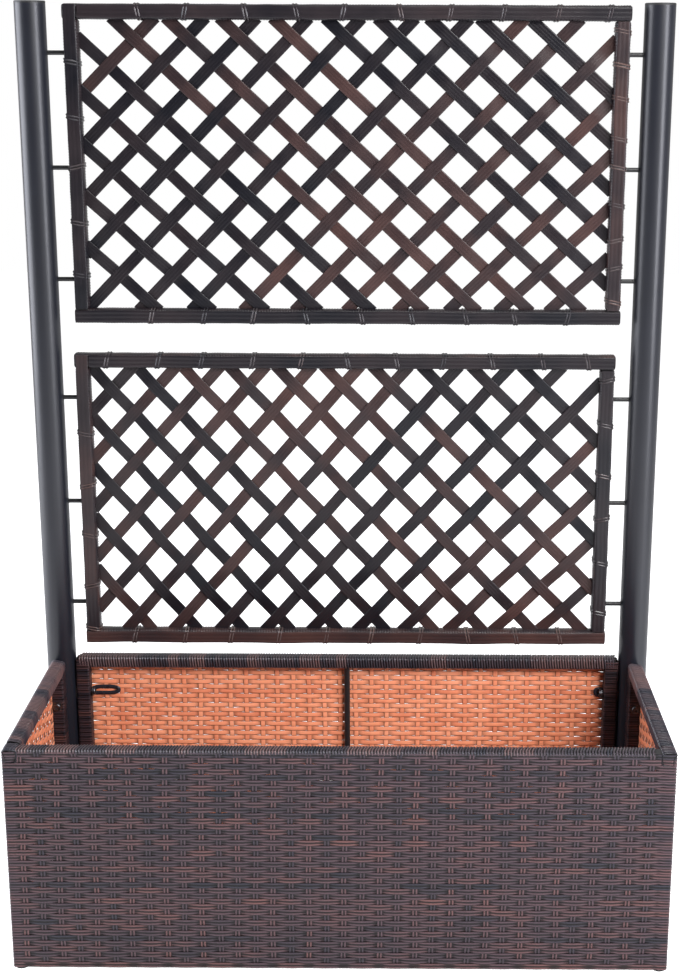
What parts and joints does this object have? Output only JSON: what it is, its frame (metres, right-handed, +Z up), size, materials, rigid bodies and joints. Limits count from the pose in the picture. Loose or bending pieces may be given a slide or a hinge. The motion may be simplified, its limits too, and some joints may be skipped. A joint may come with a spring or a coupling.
{
  "type": "planter with trellis",
  "caption": "Rectangular woven planter box between two tall round poles that carry two woven lattice trellis panels above its back edge.",
  "frame": {"origin": "on the floor, at the centre of the overall footprint", "axes": "+X across the planter, +Y from the front to the trellis at the back, +Z up"},
  "size_m": [0.85, 0.3199, 1.198],
  "materials": {
    "pole_coating": "satin powder coat, blue-black, on round steel tube",
    "frame_coating": "matt powder coat, black, on square steel tube",
    "pin_coating": "matt powder coat, black, on steel rod",
    "woven_strand": "flat ribbed polyethylene strand, mottled brown and blue-black outside, terracotta on its inner side",
    "wrap_strand": "flat ribbed polyethylene strand wrapped tightly, brown and blue-black",
    "bar_strand": "wide ribbed polyethylene strand with a soft gloss, dark brown",
    "lattice_strand": "wide ribbed polyethylene strand, each strand blue-black or red-brown",
    "binding_strand": "narrow polyethylene strand bound round a bar",
    "cap_plastic": "black moulded plastic",
    "base_plastic": "black moulded plastic board with drain holes",
    "bolt_steel": "steel with a black zinc plating"
  },
  "bodies": {
    "root": {"back_centre_bar": "frame_coating", "back_panel_bolts": "bolt_steel", "back_panel_frame": "frame_coating", "back_panel_left_post_wrap": "wrap_strand", "back_panel_right_post_wrap": "wrap_strand", "back_rim_wrap": "wrap_strand", "back_sill_wrap": "wrap_strand", "back_woven_skin": "woven_strand", "base_board": "base_plastic", "bolt_washers": "bolt_steel", "front_centre_bar": "frame_coating", "front_corner_bolts": "bolt_steel", "front_glides": "cap_plastic", "front_panel_frame": "frame_coating", "front_panel_left_post_wrap": "wrap_strand", "front_panel_right_post_wrap": "wrap_strand", "front_rim_wrap": "wrap_strand", "front_sill_wrap": "wrap_strand", "front_woven_skin": "woven_strand", "left_panel_frame": "frame_coating", "left_panel_front_post_wrap": "wrap_strand", "left_panel_rear_post_wrap": "wrap_strand", "left_pole": "pole_coating", "left_rim_wrap": "wrap_strand", "left_sill_wrap": "wrap_strand", "left_woven_skin": "woven_strand", "lower_trellis_bindings": "binding_strand", "lower_trellis_bottom_bar_wrap": "bar_strand", "lower_trellis_falling_strands": "lattice_strand", "lower_trellis_frame": "frame_coating", "lower_trellis_left_bar_wrap": "bar_strand", "lower_trellis_right_bar_wrap": "bar_strand", "lower_trellis_rising_strands": "lattice_strand", "lower_trellis_top_bar_wrap": "bar_strand", "pole_foot_caps": "cap_plastic", "pole_saddles": "cap_plastic", "pole_top_caps": "cap_plastic", "right_panel_frame": "frame_coating", "right_panel_front_post_wrap": "wrap_strand", "right_panel_rear_post_wrap": "wrap_strand", "right_pole": "pole_coating", "right_rim_wrap": "wrap_strand", "right_sill_wrap": "wrap_strand", "right_woven_skin": "woven_strand", "side_panel_bolts": "bolt_steel", "slit_bindings": "binding_strand", "threaded_inserts": "bolt_steel", "trellis_pins": "pin_coating", "upper_trellis_bindings": "binding_strand", "upper_trellis_bottom_bar_wrap": "bar_strand", "upper_trellis_falling_strands": "lattice_strand", "upper_trellis_frame": "frame_coating", "upper_trellis_left_bar_wrap": "bar_strand", "upper_trellis_right_bar_wrap": "bar_strand", "upper_trellis_rising_strands": "lattice_strand", "upper_trellis_top_bar_wrap": "bar_strand"}
  },
  "joints": []
}
